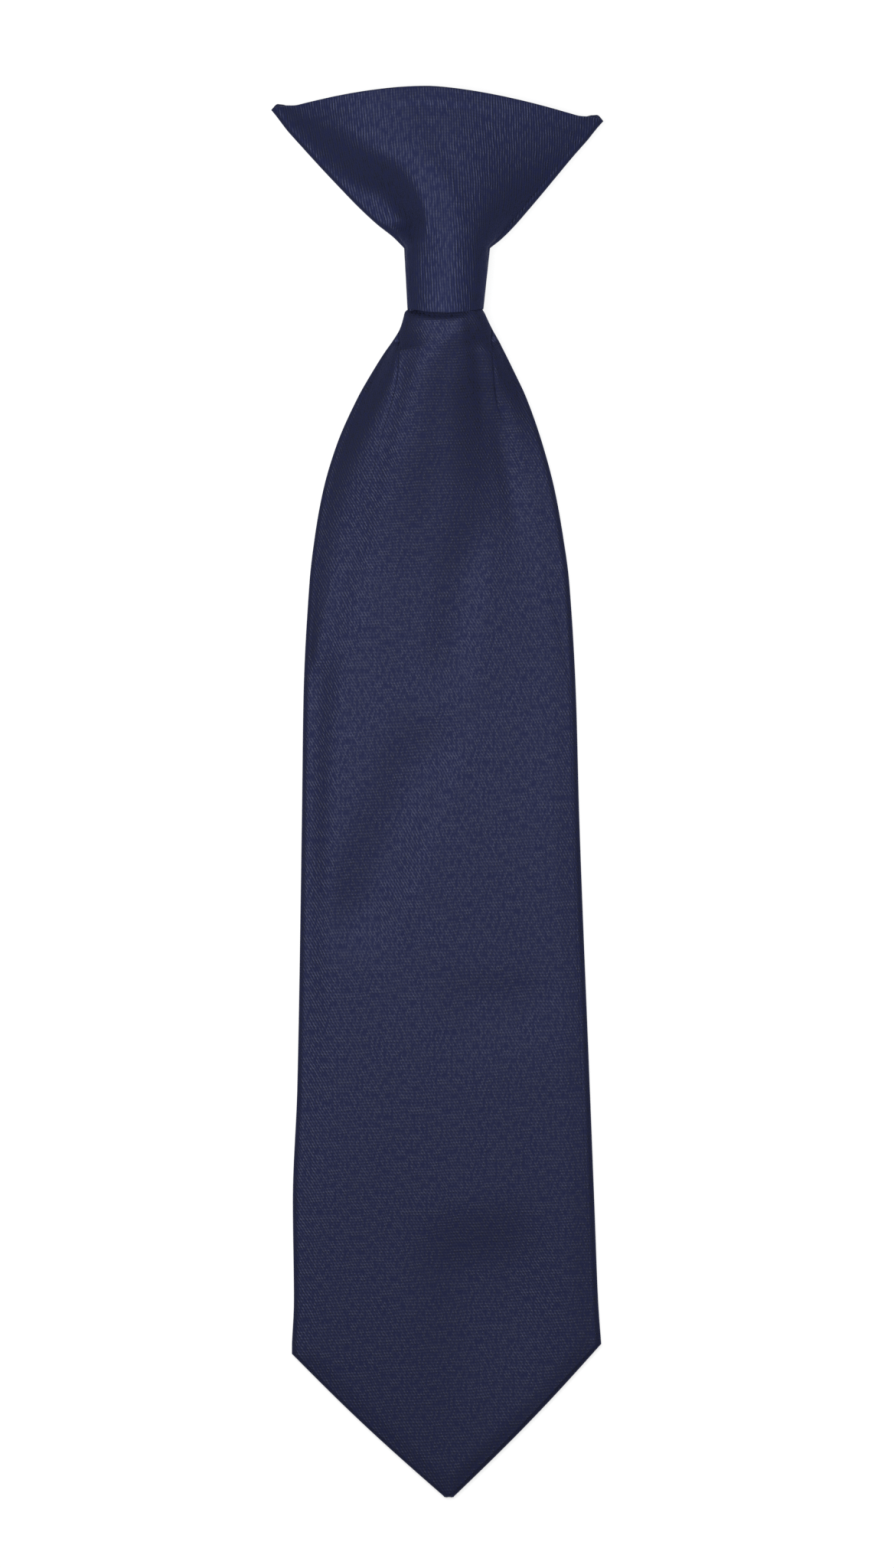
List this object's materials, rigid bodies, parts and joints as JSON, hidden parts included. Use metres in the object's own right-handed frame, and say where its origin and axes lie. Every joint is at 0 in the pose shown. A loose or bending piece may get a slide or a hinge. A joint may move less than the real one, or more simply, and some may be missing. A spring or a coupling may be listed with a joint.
{
  "type": "clip-on tie",
  "caption": "Ready-tied clip-on necktie: a pointed satin blade, a knot with spread wings open along the top, and a collar clip behind it.",
  "frame": {"origin": "middle of the collar clip's back face, which lies on the table with the blade", "axes": "+Z out of the tie's face, +Y along the tie from the tip towards the knot's wings, +X to the right seen from the front"},
  "size_m": [0.0835, 0.3549, 0.0183],
  "materials": {
    "navy_satin": "navy twill satin with a soft sheen",
    "clip_steel": "bright nickel-plated sheet"
  },
  "bodies": {
    "root": {"blade": "navy_satin", "knot_cover": "navy_satin", "collar_clip": "clip_steel"}
  },
  "joints": []
}
